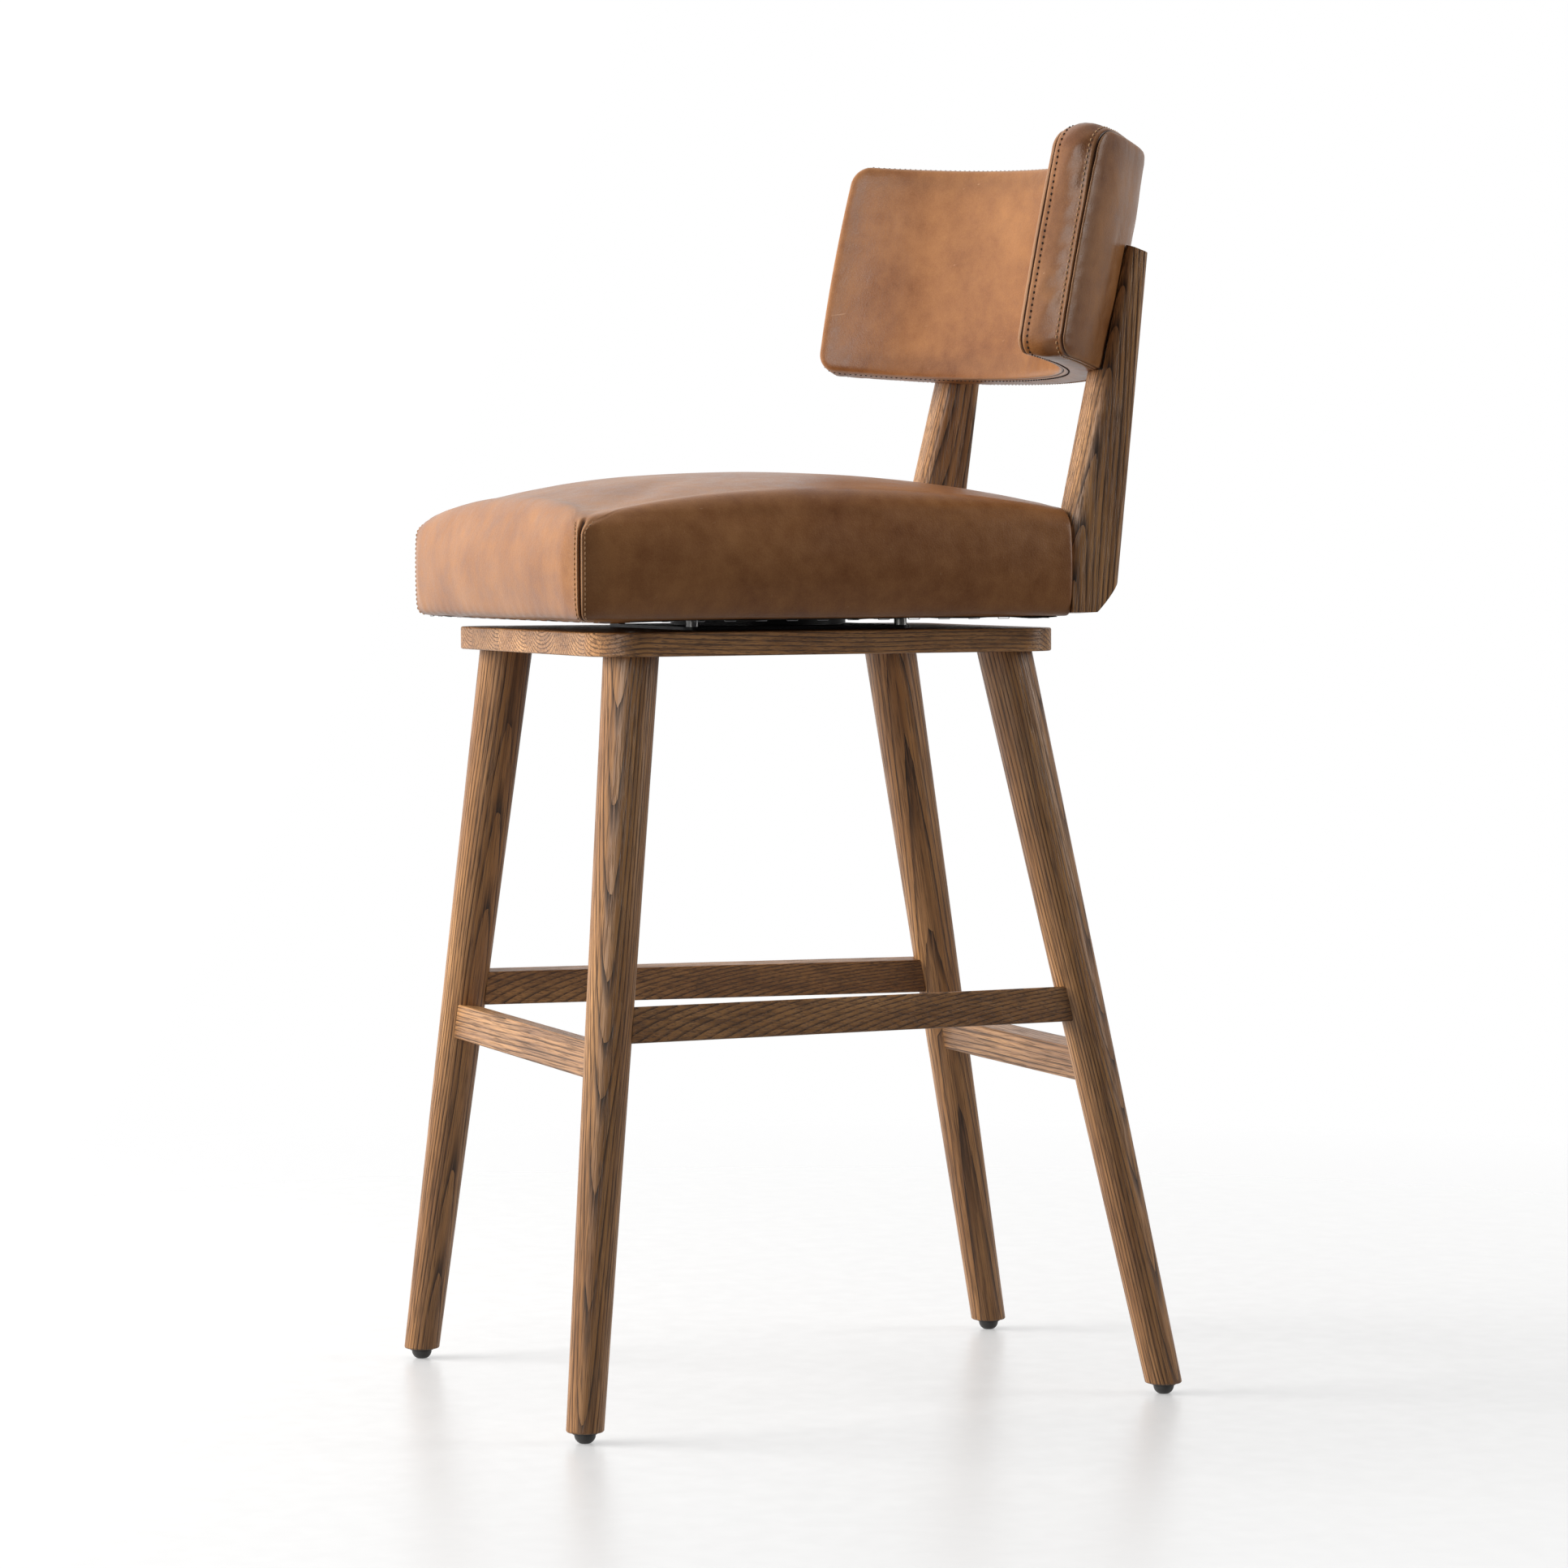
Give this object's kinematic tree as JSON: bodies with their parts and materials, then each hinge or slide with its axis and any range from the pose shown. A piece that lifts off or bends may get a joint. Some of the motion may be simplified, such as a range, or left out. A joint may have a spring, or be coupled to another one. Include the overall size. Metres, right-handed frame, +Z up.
{
  "type": "bar stool",
  "caption": "Swivel bar stool: raked round wooden legs with a footrest, crowned leather seat and a curved leather back pad on two posts.",
  "frame": {"origin": "centre of the stool's outline, on the floor", "axes": "+Z up; the sitter faces -Y; +X is the stool's right-hand side seen from the front"},
  "size_m": [0.5012, 0.5706, 1.0346],
  "materials": {
    "ash": "stained satin ash",
    "plywood": "plain birch plywood",
    "rail_wood": "plain hardwood",
    "foam": "open-cell foam",
    "leather": "semi-aniline saddle brown leather",
    "dust_cover": "black non-woven cloth",
    "glide": "brown moulded plastic",
    "black_steel": "black powder coat",
    "cage": "natural nylon",
    "ball_steel": "polished bearing steel",
    "zinc_steel": "zinc plated"
  },
  "bodies": {
    "base": {"base_board": "ash", "glide_front_left": "glide", "glide_front_right": "glide", "glide_nails": "zinc_steel", "glide_rear_left": "glide", "glide_rear_right": "glide", "leg_bolts": "black_steel", "leg_dowels": "rail_wood", "leg_front_left": "ash", "leg_front_right": "ash", "leg_inserts": "zinc_steel", "leg_rear_left": "ash", "leg_rear_right": "ash", "lower_plate_screws": "black_steel", "stretcher_front": "ash", "stretcher_left": "ash", "stretcher_rear": "ash", "stretcher_right": "ash", "swivel_lower_plate": "black_steel"},
    "ball_cage": {"ball_cage": "cage", "bearing_balls": "ball_steel"},
    "seat": {"back_cover_band": "leather", "back_cover_front": "leather", "back_cover_rear": "leather", "back_foam_front": "foam", "back_foam_rear": "foam", "back_screws": "black_steel", "back_shell": "plywood", "deck_nuts": "zinc_steel", "post_left": "ash", "post_right": "ash", "post_seat_bolts": "black_steel", "rail_nuts": "zinc_steel", "seat_cover": "leather", "seat_deck": "plywood", "seat_dust_cover": "dust_cover", "seat_foam": "foam", "seat_rear_rail": "rail_wood", "swivel_pivot": "zinc_steel", "swivel_upper_plate": "black_steel", "upper_plate_bolts": "black_steel"}
  },
  "joints": [
    {"name": "seat_swivel", "type": "hinge", "parent": "base", "child": "seat", "pos_m": [0, -0.0403, 0.6392], "axis": [0, 0, 1], "continuous": true},
    {"name": "cage_spin", "type": "hinge", "parent": "base", "child": "ball_cage", "pos_m": [0, -0.0403, 0.6392], "axis": [0, 0, 1], "continuous": true}
  ],
  "couplings": [
    {"joint": "cage_spin", "follows": "seat_swivel", "ratio": 0.5}
  ]
}
